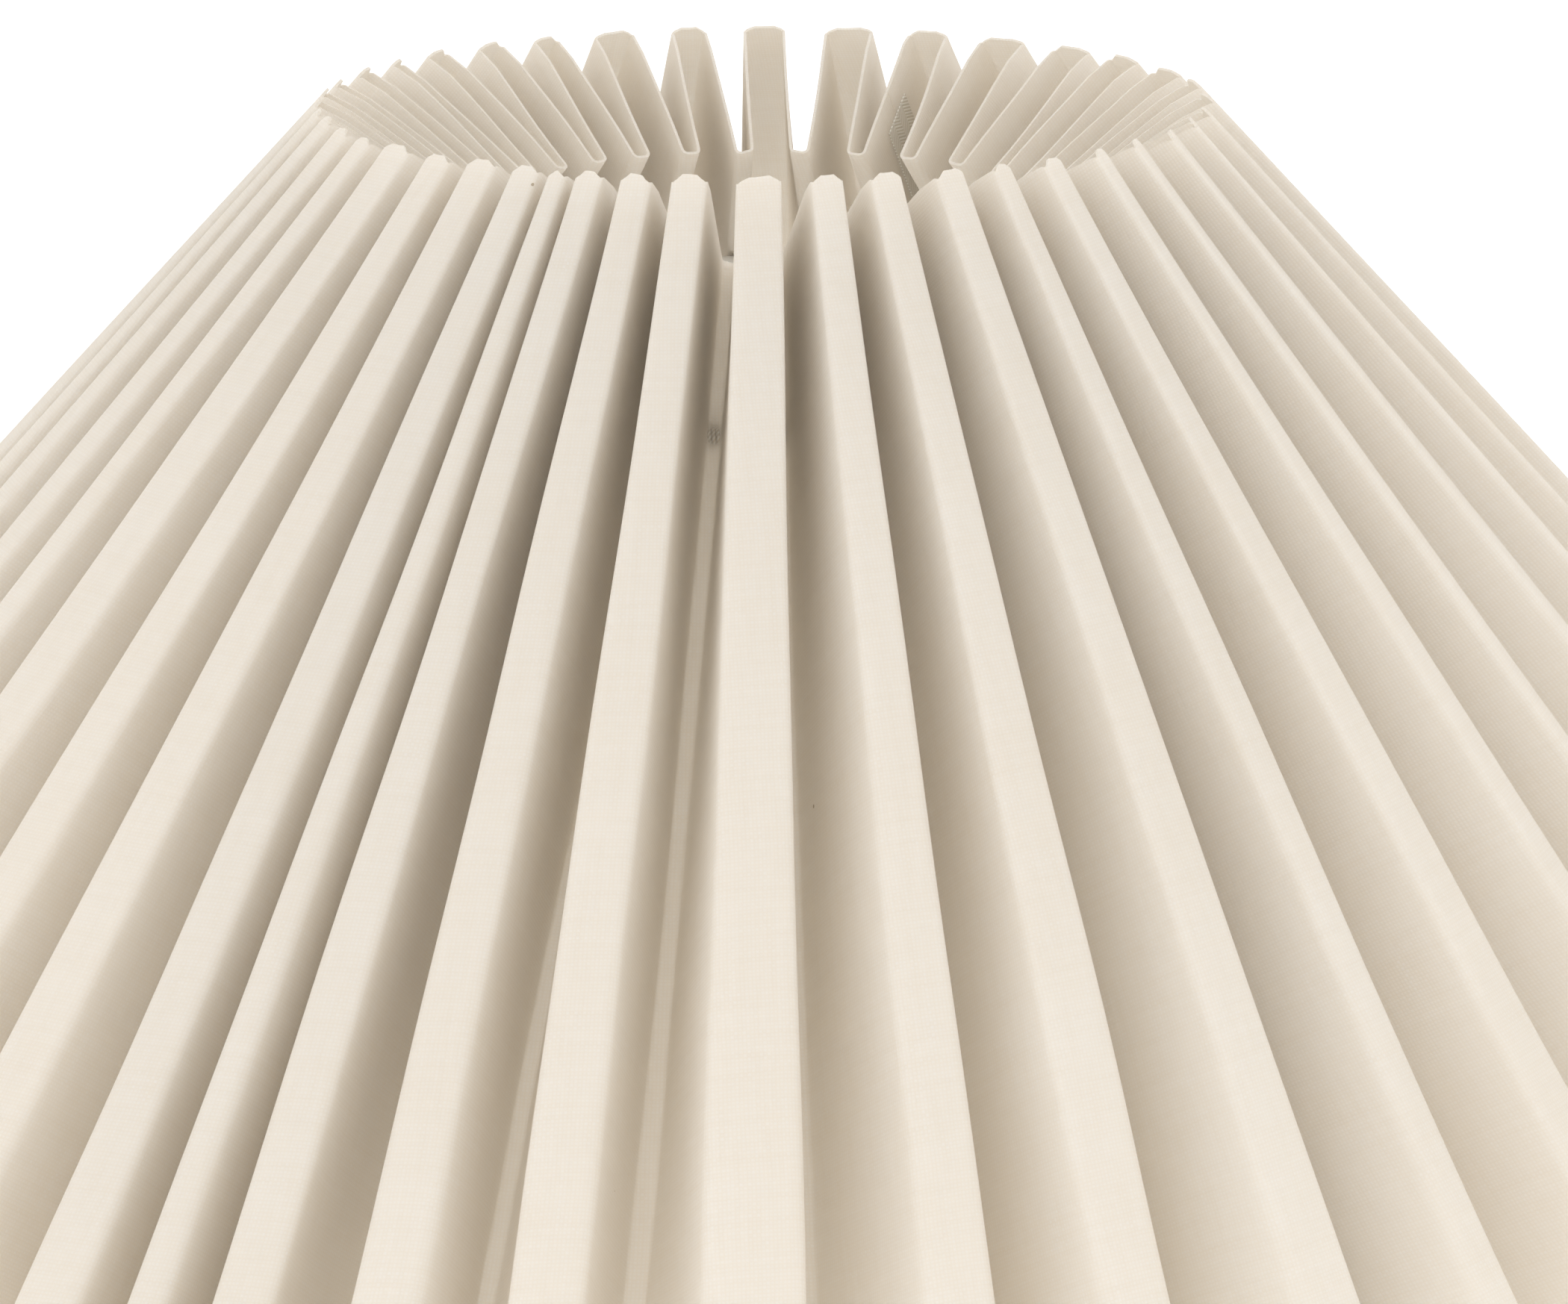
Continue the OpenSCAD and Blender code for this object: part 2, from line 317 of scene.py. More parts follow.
def add_node(
    tree: bpy.types.NodeTree,
    kind: str,
    settings: dict[str, Any] | None = None,
    inputs: dict[Any, Any] | None = None,
) -> bpy.types.Node:
    """Adds one node with its settings, values and links.

    Args:
        tree: The tree that gets the node.
        kind: The node's type name, without the leading "ShaderNode".
        settings: The node's own properties.
        inputs: Values or source sockets, by input name or number.

    Returns:
        The new node.
    """
    new = tree.nodes.new("ShaderNode" + kind)
    for name, value in (settings or {}).items():
        setattr(new, name, value)
    for key, value in (inputs or {}).items():
        if isinstance(value, bpy.types.NodeSocket):
            tree.links.new(value, new.inputs[key])
        else:
            new.inputs[key].default_value = value
    return new


def new_material(name: str) -> tuple[bpy.types.Material, bpy.types.NodeTree]:
    """Makes an empty node material with its output, and gives it with its tree."""
    material = bpy.data.materials.new(name)
    material.use_nodes = True
    tree = material.node_tree
    tree.nodes.clear()
    tree.nodes.new("ShaderNodeOutputMaterial")
    return material, tree


def close_material(tree: bpy.types.NodeTree, shader: bpy.types.Node) -> None:
    """Links a finished shader to the tree's output."""
    output = next(n for n in tree.nodes if n.type == "OUTPUT_MATERIAL")
    tree.links.new(shader.outputs[0], output.inputs["Surface"])


def let_light_through(
    tree: bpy.types.NodeTree, shader: bpy.types.Node, colour: bpy.types.NodeSocket, share: float
) -> bpy.types.Node:
    """Mixes a share of translucence into a cloth's shader, and gives the mix."""
    through = add_node(tree, "BsdfTranslucent", {}, {"Color": colour})
    return add_node(
        tree, "MixShader", {}, {0: share, 1: shader.outputs[0], 2: through.outputs[0]}
    )


def calc(tree: bpy.types.NodeTree, operation: str, *values: Any) -> bpy.types.NodeSocket:
    """Adds one Math node and gives its result."""
    inputs = dict(enumerate(values))
    return add_node(tree, "Math", {"operation": operation}, inputs).outputs[0]


def blend(
    tree: bpy.types.NodeTree, share: bpy.types.NodeSocket, dark: str, light: str
) -> bpy.types.NodeSocket:
    """Mixes two hex colours, the light one where share is one."""
    inputs = {0: share, 6: linear(dark), 7: linear(light)}
    return add_node(tree, "Mix", {"data_type": "RGBA"}, inputs).outputs[2]


def relief(
    tree: bpy.types.NodeTree, height: bpy.types.NodeSocket, depth_mm: float, strength: float
) -> bpy.types.NodeSocket:
    """Raises a surface by a height pattern, at most depth_mm, and gives its normal."""
    inputs = {"Height": height, "Distance": depth_mm * MM, "Strength": strength}
    return add_node(tree, "Bump", {}, inputs).outputs[0]


def noise(
    tree: bpy.types.NodeTree, place: bpy.types.NodeSocket, scale: float, detail: float
) -> bpy.types.NodeSocket:
    """Gives a noise pattern's value at a place, with its scale in cells a metre."""
    inputs = {"Vector": place, "Scale": scale, "Detail": detail}
    return add_node(tree, "TexNoise", {}, inputs).outputs[0]


# ---------------------------------------------------------------------------------------------
# Finishes
# ---------------------------------------------------------------------------------------------

CLOTH_UV = "cloth"


@dataclass(frozen=True)
class Linen:
    """Fine plain-woven linen, bleached to cream and bonded to a stiff backing.

    The bonding keeps it flat and matt; the eye gets the threads, a little thicker and thinner
    along their length, and here and there a darker fleck of flax.
    """

    name: str = "bonded_cream_linen"
    light: str = "fefbf6"
    dark: str = "f9f3e9"
    fleck: str = "b8a88e"
    roughness: float = 0.9
    glow_through: float = 0.48
    thread_mm: float = 0.6
    slub_mm: float = 7.0
    wander_mm: float = 18.0
    fleck_mm: float = 14.0
    relief_mm: float = 0.05

    def build(self) -> bpy.types.Material:
        """Builds the material."""
        material, tree = new_material(self.name)
        cloth = add_node(tree, "UVMap", {"uv_map": CLOTH_UV}).outputs[0]
        drift = add_node(
            tree, "TexNoise", {}, {"Vector": cloth, "Scale": 1 / (self.wander_mm * MM), "Detail": 1.0}
        ).outputs["Color"]
        centred = add_node(
            tree, "VectorMath", {"operation": "SUBTRACT"}, {0: drift, 1: (0.5, 0.5, 0.5)}
        ).outputs[0]
        push = add_node(
            tree, "VectorMath", {"operation": "SCALE"}, {0: centred, "Scale": 1.2 * self.thread_mm * MM}
        ).outputs[0]
        laid = add_node(tree, "VectorMath", {"operation": "ADD"}, {0: cloth, 1: push}).outputs[0]
        turns = add_node(
            tree, "VectorMath", {"operation": "SCALE"}, {0: laid, "Scale": math.pi / (self.thread_mm * MM)}
        ).outputs[0]
        split = add_node(tree, "SeparateXYZ", {}, {0: turns})
        across = calc(tree, "SINE", split.outputs[0])
        down = calc(tree, "SINE", split.outputs[1])
        over = calc(tree, "MULTIPLY", calc(tree, "SIGN", across), calc(tree, "SIGN", down))
        crown = calc(
            tree, "MULTIPLY", calc(tree, "ABSOLUTE", across), calc(tree, "ABSOLUTE", down)
        )
        long_way = (1 / (self.thread_mm * MM), 1 / (self.slub_mm * MM), 1.0)
        cross_way = (1 / (self.slub_mm * MM), 1 / (self.thread_mm * MM), 1.0)
        slubs = []
        for scale in (long_way, cross_way):
            stretched = add_node(
                tree, "VectorMath", {"operation": "MULTIPLY"}, {0: cloth, 1: scale}
            ).outputs[0]
            slubs.append(noise(tree, stretched, 0.5, 2.0))
        slub = add_node(
            tree, "MapRange", {}, {"Value": over, "From Min": -1.0, "From Max": 1.0}
        ).outputs[0]
        thick = add_node(
            tree, "Mix", {"data_type": "FLOAT"}, {0: slub, 2: slubs[0], 3: slubs[1]}
        ).outputs[0]
        height = calc(tree, "MULTIPLY_ADD", thick, 0.7, calc(tree, "MULTIPLY", crown, 0.8))
        mottle = noise(tree, cloth, 1 / (40 * MM), 3.0)
        tone = calc(tree, "MULTIPLY_ADD", crown, 0.35, calc(tree, "MULTIPLY", thick, 0.7))
        tone = calc(tree, "MULTIPLY_ADD", mottle, 0.25, tone)
        ramp = add_node(tree, "ValToRGB", {}, {0: tone})
        ramp.color_ramp.elements[0].position = 0.3
        ramp.color_ramp.elements[0].color = linear(self.dark)
        ramp.color_ramp.elements[1].position = 0.95
        ramp.color_ramp.elements[1].color = linear(self.light)
        cells = add_node(
            tree,
            "TexVoronoi",
            {"feature": "F1"},
            {"Vector": laid, "Scale": 1 / (self.fleck_mm * MM), "Randomness": 1.0},
        )
        near = calc(tree, "LESS_THAN", cells.outputs["Distance"], 0.022)
        chosen = add_node(tree, "SeparateColor", {}, {0: cells.outputs["Color"]}).outputs[0]
        rare = calc(tree, "MULTIPLY", near, calc(tree, "GREATER_THAN", chosen, 0.9))
        colour = add_node(
            tree,
            "Mix",
            {"data_type": "RGBA"},
            {0: calc(tree, "MULTIPLY", rare, 0.8), 6: ramp.outputs[0], 7: linear(self.fleck)},
        ).outputs[2]
        bump = relief(tree, height, self.relief_mm, 0.9)
        shader = add_node(
            tree,
            "BsdfPrincipled",
            {},
            {
                "Base Color": colour,
                "Roughness": self.roughness,
                "Normal": bump,
                "Specular IOR Level": 0.25,
                "Sheen Weight": 0.08,
                "Sheen Roughness": 0.5,
            },
        )
        close_material(tree, let_light_through(tree, shader, colour, self.glow_through))
        return material


@dataclass(frozen=True)
class BackingFilm:
    """Thin stiff film bonded behind the linen.

    It gives the lamp's side a smoother, faintly satin face through which the weave only shows as
    a fine grain.
    """

    name: str = "backing_film"
    light: str = "fefbf7"
    dark: str = "faf5ed"
    roughness: float = 0.6
    glow_through: float = 0.48
    grain_mm: float = 0.6

    def build(self) -> bpy.types.Material:
        """Builds the material."""
        material, tree = new_material(self.name)
        cloth = add_node(tree, "UVMap", {"uv_map": CLOTH_UV}).outputs[0]
        grain = noise(tree, cloth, 0.7 / (self.grain_mm * MM), 2.0)
        cloud = noise(tree, cloth, 1 / (60 * MM), 3.0)
        tone = calc(tree, "MULTIPLY_ADD", grain, 0.5, calc(tree, "MULTIPLY", cloud, 0.5))
        colour = blend(tree, tone, self.dark, self.light)
        bump = relief(tree, grain, 0.03, 0.6)
        shader = add_node(
            tree,
            "BsdfPrincipled",
            {},
            {"Base Color": colour, "Roughness": self.roughness, "Normal": bump},
        )
        close_material(tree, let_light_through(tree, shader, colour, self.glow_through))
        return material


@dataclass(frozen=True)
class CottonTape:
    """Bleached cotton tape in a herringbone weave, glued flat.

    The slanting ribs change side along the middle of the tape, so it reads as tape and not as
    more of the cover.
    """

    name: str = "herringbone_cotton_tape"
    light: str = "f8f5ee"
    dark: str = "d8d1c2"
    roughness: float = 0.9
    rib_mm: float = 0.9
    stripe_mm: float = 2.5

    def build(self) -> bpy.types.Material:
        """Builds the material."""
        material, tree = new_material(self.name)
        cloth = add_node(tree, "UVMap", {"uv_map": CLOTH_UV}).outputs[0]
        split = add_node(tree, "SeparateXYZ", {}, {0: cloth})
        zigzag = calc(tree, "PINGPONG", split.outputs[0], self.stripe_mm * MM)
        slant = calc(tree, "ADD", zigzag, split.outputs[1])
        rib = calc(tree, "SINE", calc(tree, "MULTIPLY", slant, 2 * math.pi / (self.rib_mm * MM)))
        level = calc(tree, "MULTIPLY_ADD", rib, 0.5, 0.5)
        colour = blend(tree, level, self.dark, self.light)
        bump = relief(tree, level, 0.08, 1.0)
        shader = add_node(
            tree,
            "BsdfPrincipled",
            {},
            {"Base Color": colour, "Roughness": self.roughness, "Normal": bump},
        )
        close_material(tree, shader)
        return material


@dataclass(frozen=True)
class PowderCoat:
    """White polyester powder coat, stoved on drawn steel wire.

    It flows into a soft satin skin with a fine orange peel, and its tone and gloss drift a little at
    random, slightly warmer in places.
    """

    name: str = "white_powder_coat"
    light: str = "f6f5f1"
    dark: str = "e6e2d8"
    roughness: float = 0.38
    peel_mm: float = 0.8

    def build(self) -> bpy.types.Material:
        """Builds the material."""
        material, tree = new_material(self.name)
        place = add_node(tree, "TexCoord").outputs["Object"]
        peel = noise(tree, place, 1 / (self.peel_mm * MM), 2.0)
        cloud = noise(tree, place, 1 / (25 * MM), 2.0)
        colour = blend(tree, cloud, self.dark, self.light)
        gloss = calc(tree, "MULTIPLY_ADD", cloud, 0.12, self.roughness - 0.06)
        bump = relief(tree, peel, 0.05, 0.5)
        shader = add_node(
            tree,
            "BsdfPrincipled",
            {},
            {"Base Color": colour, "Roughness": gloss, "Normal": bump, "IOR": 1.5},
        )
        close_material(tree, shader)
        return material


@dataclass(frozen=True)
class SewingThread:
    """Waxed two-ply cotton thread, whose twist shows as fine slanting ridges."""

    name: str = "waxed_cotton_thread"
    light: str = "f8f3e9"
    dark: str = "e4dac8"
    roughness: float = 0.7
    twists: float = 9.0

    def build(self) -> bpy.types.Material:
        """Builds the material."""
        material, tree = new_material(self.name)
        wrap = add_node(tree, "TexCoord").outputs["UV"]
        split = add_node(tree, "SeparateXYZ", {}, {0: wrap})
        slant = calc(tree, "MULTIPLY_ADD", split.outputs[0], self.twists, split.outputs[1])
        ply = calc(tree, "SINE", calc(tree, "MULTIPLY", slant, 4 * math.pi))
        level = calc(tree, "MULTIPLY_ADD", ply, 0.5, 0.5)
        colour = blend(tree, level, self.dark, self.light)
        bump = relief(tree, level, 0.06, 0.8)
        shader = add_node(
            tree,
            "BsdfPrincipled",
            {},
            {"Base Color": colour, "Roughness": self.roughness, "Normal": bump},
        )
        close_material(tree, shader)
        return material


@dataclass(frozen=True)
class StudioPaper:
    """Seamless white background paper, laid as the floor."""

    name: str = "studio_paper"
    colour: str = "ffffff"
    glow: float = 0.45

    def build(self) -> bpy.types.Material:
        """Builds the material."""
        material, tree = new_material(self.name)
        shader = add_node(
            tree,
            "BsdfPrincipled",
            {},
            {
                "Base Color": linear(self.colour),
                "Roughness": 1.0,
                "Specular IOR Level": 0.0,
                "Emission Color": linear(self.colour),
                "Emission Strength": self.glow,
            },
        )
        close_material(tree, shader)
        return material


# ---------------------------------------------------------------------------------------------
# Bench: edit-mode work
# ---------------------------------------------------------------------------------------------


def deselect_all() -> None:
    """Leaves edit mode and deselects every object."""
    if bpy.context.object is not None and bpy.context.object.mode != "OBJECT":
        bpy.ops.object.mode_set(mode="OBJECT")
    for other in bpy.context.scene.objects:
        other.select_set(False)


def hold(piece: bpy.types.Object) -> None:
    """Makes a piece the only selected and active object."""
    deselect_all()
    piece.select_set(True)
    bpy.context.view_layer.objects.active = piece


def pick_faces(piece: bpy.types.Object, chosen: Callable[[bmesh.types.BMFace], bool]) -> None:
    """Selects, in edit mode, only the faces for which chosen is true."""
    bpy.ops.mesh.select_mode(type="FACE")
    shape = bmesh.from_edit_mesh(piece.data)
    for face in shape.faces:
        face.select_set(False)
    for face in shape.faces:
        if chosen(face):
            face.select_set(True)
    bmesh.update_edit_mesh(piece.data)


def pick_edges(piece: bpy.types.Object, chosen: Callable[[bmesh.types.BMEdge], bool]) -> None:
    """Selects, in edit mode, only the edges for which chosen is true."""
    bpy.ops.mesh.select_mode(type="EDGE")
    shape = bmesh.from_edit_mesh(piece.data)
    for edge in shape.edges:
        edge.select_set(False)
    for edge in shape.edges:
        if chosen(edge):
            edge.select_set(True)
    bmesh.update_edit_mesh(piece.data)


def settle(piece: bpy.types.Object, name: str, smooth_angle: float = 40.0) -> bpy.types.Object:
    """Finishes a piece: place applied to its mesh, doubles merged, normals out, shaded smooth.

    Args:
        piece: The piece as modelled.
        name: Its final name.
        smooth_angle: Edges sharper than this, in degrees, stay sharp.

    Returns:
        The same piece.
    """
    hold(piece)
    bpy.ops.object.transform_apply(location=True, rotation=True, scale=True)
    bpy.ops.object.mode_set(mode="EDIT")
    bpy.ops.mesh.select_all(action="SELECT")
    bpy.ops.mesh.remove_doubles(threshold=1e-6)
    bpy.ops.mesh.normals_make_consistent(inside=False)
    bpy.ops.object.mode_set(mode="OBJECT")
    bpy.ops.object.shade_smooth_by_angle(angle=math.radians(smooth_angle))
    piece.name = name
    piece.data.name = name
    deselect_all()
    return piece


def dress(piece: bpy.types.Object, slot: Slot, *materials: bpy.types.Material) -> None:
    """Gives a piece its materials and its body."""
    piece.data.materials.clear()
    for material in materials:
        piece.data.materials.append(material)
    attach(piece, BODY)


# ---------------------------------------------------------------------------------------------
# The cloth cover
# ---------------------------------------------------------------------------------------------

Rows = np.ndarray


@dataclass
class HandMade:
    """Seeded unevenness that hand folding leaves in the cloth, in millimetres."""

    seed: int = 20
    waves: int = 4
    crease_top: float = 0.12
    crease_bottom: float = 0.5
    bow_flat_top: float = 0.15
    bow_flat_bottom: float = 0.55
    bow_wall_top: float = 0.35
    bow_wall_bottom: float = 1.3
    cut: float = 0.25
    corner_cut: float = 1.3
    corner_reach: float = 1.5
    creases: int = 168

    def __post_init__(self) -> None:
        """Draws every phase and weight once, in a fixed order."""
        draw = np.random.default_rng(self.seed)
        self.side_phase = draw.uniform(0, 2 * math.pi, (self.creases, self.waves))
        self.lift_phase = draw.uniform(0, 2 * math.pi, (self.creases, self.waves))
        self.bow_phase = draw.uniform(0, 2 * math.pi, (self.creases, self.waves))
        self.bow_lean = draw.normal(0.0, 1.0, self.creases)
        self.cut_phase = draw.uniform(0, 2 * math.pi, (2, self.waves))

    def wave(self, phases: np.ndarray, t: Rows, base: float) -> Rows:
        """Adds a few slow waves along t, together within about one."""
        total = np.zeros_like(t)
        for n in range(self.waves):
            total += np.sin(2 * math.pi * (base + 0.7 * n) * t + phases[n]) / (1 + 0.9 * n)
        return total / 1.7

    def crease_shift(self, i: int, t: Rows) -> tuple[Rows, Rows]:
        """Gives how far crease i strays sideways and outwards along its length."""
        size = self.crease_top + (self.crease_bottom - self.crease_top) * t
        side = size * self.wave(self.side_phase[i], t, 0.9)
        lift = 0.5 * size * self.wave(self.lift_phase[i], t, 0.7)
        return side, lift

    def bow(self, j: int, t: Rows) -> Rows:
        """Gives how far the middle of face j stands out of its plane."""
        if Face(j % 4) is Face.FLAT:
            size = self.bow_flat_top + (self.bow_flat_bottom - self.bow_flat_top) * t
            return size * (0.7 + 0.5 * self.wave(self.bow_phase[j], t, 0.8))
        if Face(j % 4) is Face.FOLD:
            return np.zeros_like(t)
        size = self.bow_wall_top + (self.bow_wall_bottom - self.bow_wall_top) * t
        return size * (0.45 * self.bow_lean[j] + 0.6 * self.wave(self.bow_phase[j], t, 0.7))

    def edge(self, end: int, far: float) -> float:
        """Gives how unevenly the strip was cut at a length along it."""
        total = 0.0
        for n in range(self.waves):
            total += math.sin(far / (9.0 + 17.0 * n) + self.cut_phase[end][n])
        return self.cut * total / 2


@dataclass
class PleatedCover:
    """The cover: three strips of bonded linen, folded into box pleats."""

    sizes: CoverSizes = field(default_factory=CoverSizes)
    layout: PleatLayout = field(default_factory=PleatLayout)
    hand: HandMade = field(default_factory=HandMade)
    rows: int = 70
    row_bunch: float = 1.2
    arc_steps: int = 5
    flat_steps: int = 5
    wall_steps: int = 6
    outer_round_top: float = 0.9
    outer_round_bottom: float = 2.4
    inner_round: float = 0.8
    most_round: float = 0.35

    def __post_init__(self) -> None:
        """Works out the ends of every crease."""
        s = self.sizes
        self.creases = 4 * self.layout.count
        self.top = self._level(s.top_r, s.flat_top_w, s.top_z, s.fold_top_r, s.fold_top_w, s.fold_top_z)
        self.bottom = self._level(
            s.bottom_r, s.flat_bottom_w, s.bottom_z, s.fold_bottom_r, s.fold_bottom_w, s.fold_bottom_z
        )
        self.t = np.linspace(0, 1, self.rows + 1) ** self.row_bunch

    def _level(
        self, r: float, w: float, z: float, r_in: float, w_in: float, z_in: float
    ) -> np.ndarray:
        """Gives the crease points at one end: flat left, flat right, fold left, fold right."""
        points = []
        for k in range(self.layout.count):
            lean = math.radians(self.layout.lean_at(k))
            place, fold = self.layout.pleat(k), self.layout.fold(k)
            half = w * self.layout.flat_share(k) / 2
            half_in = w_in * self.layout.fold_share(k) / 2
            tilt = math.cos(lean) * along(place) + math.sin(lean) * around(place)
            up, up_in = np.array([0, 0, z]), np.array([0, 0, z_in])
            points.append(r * around(place) - half * tilt + up)
            points.append(r * around(place) + half * tilt + up)
            points.append(r_in * around(fold) - half_in * along(fold) + up_in)
            points.append(r_in * around(fold) + half_in * along(fold) + up_in)
        return np.array(points)

    def crease(self, i: int, t: Rows) -> np.ndarray:
        """Gives crease i's points at each share t of its length."""
        i %= self.creases
        straight = self.top[i] + (self.bottom[i] - self.top[i]) * t[:, None]
        out = self.top[i] * np.array([1, 1, 0])
        out = out / np.linalg.norm(out)
        side = np.array([-out[1], out[0], 0])
        shift, lift = self.hand.crease_shift(i, t)
        return straight + shift[:, None] * side + lift[:, None] * out

    def on_face(self, j: int, share: Rows, t: Rows) -> np.ndarray:
        """Gives points on face j at a share of its width, bowed as hand folding leaves it."""
        a, b = self.crease(j, t), self.crease(j + 1, t)
        step = b - a
        bow = self.hand.bow(j % self.creases, t) * 4 * share * (1 - share)
        return a + step * share[:, None] + bow[:, None] * self._normal(j, step)

    def _normal(self, j: int, step: np.ndarray) -> np.ndarray:
        """Gives face j's outward directions, from the steps across it."""
        i = j % self.creases
        normal = np.cross(self.bottom[i] - self.top[i], step)
        return normal / np.linalg.norm(normal, axis=1)[:, None]

    def _width(self, j: int, t: Rows) -> Rows:
        """Gives face j's width along its length."""
        return np.linalg.norm(self.crease(j + 1, t) - self.crease(j, t), axis=1)

    def _round_share(self, i: int, j: int, t: Rows) -> Rows:
        """Gives the share of face j's width that crease i's rounding takes."""
        outer = self.outer_round_top + (self.outer_round_bottom - self.outer_round_top) * t
        size = outer if i % 4 < 2 else self.inner_round
        return np.minimum(size / self._width(j, t), self.most_round)

    def _column_t(self, place: float, corner: float) -> Rows:
        """Gives a column's shares of length, between its uneven cut ends."""
        top = self.hand.edge(0, place) + self.hand.corner_cut * corner
        bottom = self.hand.edge(1, place)
        start, end = top / self.sizes.strip_w, 1 - bottom / self.sizes.strip_w
        return start + (end - start) * self.t

    def _corner(self, i: int, away: float) -> float:
        """Gives how much of the corner's clip is left at a distance from outer crease i."""
        if i % 4 > 1:
            return 0.0
        return max(0.0, 1 - away / self.hand.corner_reach)

    def face_columns(self, j: int, first: float, last: float) -> list[tuple[np.ndarray, Rows]]:
        """Gives the columns inside face j, between the roundings of its two creases.

        Args:
            j: The face, counted as its first crease.
            first: The share at which the cloth starts, 0 where the face is whole.
            last: The share at which the cloth ends, 1 where the face is whole.

        Returns:
            Each column's points and its shares of length.
        """
        kind = Face(j % 4)
        steps = {Face.FLAT: self.flat_steps, Face.FOLD: 1}.get(kind, self.wall_steps)
        t = self.t
        low = self._round_share(j, j, t) if first == 0 else np.full_like(t, first)
        high = 1 - self._round_share(j + 1, j, t) if last == 1 else np.full_like(t, last)
        ends_in = (first != 0, last != 1)
        width = self._width(j, np.zeros(1))[0]
        columns = []
        for n in range(0 if ends_in[0] else 1, steps + (1 if ends_in[1] else 0)):
            share = low + (high - low) * n / steps
            near = min(share[0], 1 - share[0]) * width
            i = j if share[0] < 0.5 else j + 1
            column_t = self._column_t(self.place(j, share[0]), self._corner(i, near))
            columns.append((self.on_face(j, share, column_t), column_t))
        return columns

    def arc_columns(self, i: int) -> list[tuple[np.ndarray, Rows]]:
        """Gives the columns of the rounding along crease i."""
        columns = []
        before = 1 - self._round_share(i, i - 1, self.t)
        after = self._round_share(i, i, self.t)
        for n in range(self.arc_steps + 1):
            q = n / self.arc_steps
            away = abs(q - 0.5) * 2 * self.outer_round_top
            t = self._column_t(self.place(i, 0.0), self._corner(i, away * 0.7))
            a, c = self.on_face(i - 1, before, t), self.on_face(i, after, t)
            b = self.crease(i, t)
            columns.append(((1 - q) ** 2 * a + 2 * q * (1 - q) * b + q**2 * c, t))
        return columns

    def place(self, j: int, share: float) -> float:
        """Gives a rough length along the strip, in millimetres, that joins on round the cover."""
        pitch = 2 * math.pi * 78 / 4
        return (j % self.creases + share) * pitch / 2.2

    def seam_wall(self, p: int) -> int:
        """Gives the wall on which panel p starts."""
        return p * self.creases // self.sizes.panels + 4 * self.sizes.seam_pleat + 1

    def seam_share(self, p: int, width: float) -> float:
        """Gives a width as a share of the wall at seam p."""
        return width / self._width(self.seam_wall(p), np.zeros(1))[0]

    def panel_columns(self, p: int) -> tuple[np.ndarray, np.ndarray]:
        """Gives panel p's grid of points, row by row, and each point's length down the cloth."""
        first, last = self.seam_wall(p), self.seam_wall(p + 1)
        gap = self.seam_share(p, self.sizes.seam_gap) / 2
        columns = self.face_columns(first, 0.5 + gap, 1)
        for i in range(first + 1, last + 1):
            columns += self.arc_columns(i)
            columns += self.face_columns(i, 0, 0.5 - gap if i == last else 1)
        points = np.stack([c[0] for c in columns], axis=1)
        down = np.stack([c[1] for c in columns], axis=1) * self.sizes.strip_w
        return points, down

    def build_panel(self, p: int) -> bpy.types.Object:
        """Builds panel p as one closed sheet with its backing."""
        points, down = self.panel_columns(p)
        across = lengths_across(points)
        across -= across.mean(axis=1, keepdims=True)
        name = f"pleated_panel_{p}"
        piece = sheet_from_grid(name, points, across, down)
        thicken(piece, self.sizes.cloth_t)
        self.flat = (float(np.ptp(across, axis=1).mean()) * MM, self.sizes.strip_w * MM)
        return settle(piece, name, 35.0)

    def build_tape(self, p: int) -> bpy.types.Object:
        """Builds the tape behind seam p, short of the cloth's cut edges."""
        s = self.sizes
        wall = self.seam_wall(p)
        t = s.tape_margin + (1 - 2 * s.tape_margin) * np.linspace(0, 1, 61)
        half = s.tape_w / 2 / self._width(wall, t)
        columns = []
        for n in range(9):
            share = 0.5 - half + 2 * half * n / 8
            flat = self.on_face(wall, share, t)
            step = self.crease(wall + 1, t) - self.crease(wall, t)
            columns.append(flat - (s.cloth_t + s.tape_clear) * self._normal(wall, step))
        points = np.stack(columns, axis=1)
        across = lengths_across(points)
        down = np.repeat(t[:, None] * s.strip_w, 9, axis=1)
        name = f"glued_tape_{p}"
        piece = sheet_from_grid(name, points, across, down)
        thicken(piece, s.tape_t)
        self.tape_flat = (s.tape_w * MM, float(np.ptp(down)) * MM)
        return settle(piece, name, 35.0)


def sheet_from_grid(
    name: str, points: np.ndarray, across: np.ndarray, down: np.ndarray
) -> bpy.types.Object:
    """Makes a sheet from a grid of points, with its own length and width as its UV map.

    Args:
        name: The object's name.
        points: Rows by columns by three, in millimetres, rows going down the show side.
        across: Each point's place along the strip, in millimetres.
        down: Each point's place down the strip, in millimetres.

    Returns:
        The sheet, one layer thick.
    """
    rows, columns = points.shape[:2]
    number = np.arange(rows * columns).reshape(rows, columns)
    quads = np.stack([number[:-1, :-1], number[1:, :-1], number[1:, 1:], number[:-1, 1:]], axis=-1)
    quads = quads.reshape(-1, 4)
    mesh = bpy.data.meshes.new(name)
    mesh.from_pydata((points.reshape(-1, 3) * MM).tolist(), [], quads.tolist())
    layer = mesh.uv_layers.new(name=CLOTH_UV)
    flat = np.stack([across.reshape(-1), down.reshape(-1)], axis=1) * MM
    layer.data.foreach_set("uv", flat[quads.reshape(-1)].astype(np.float32).reshape(-1))
    mesh.update()
    piece = bpy.data.objects.new(name, mesh)
    bpy.context.scene.collection.objects.link(piece)
    return piece


def lengths_across(points: np.ndarray) -> np.ndarray:
    """Gives each point's length along its row of a grid, from the row's first point."""
    steps = np.linalg.norm(np.diff(points, axis=1), axis=2)
    return np.concatenate([np.zeros((len(steps), 1)), np.cumsum(steps, axis=1)], axis=1)


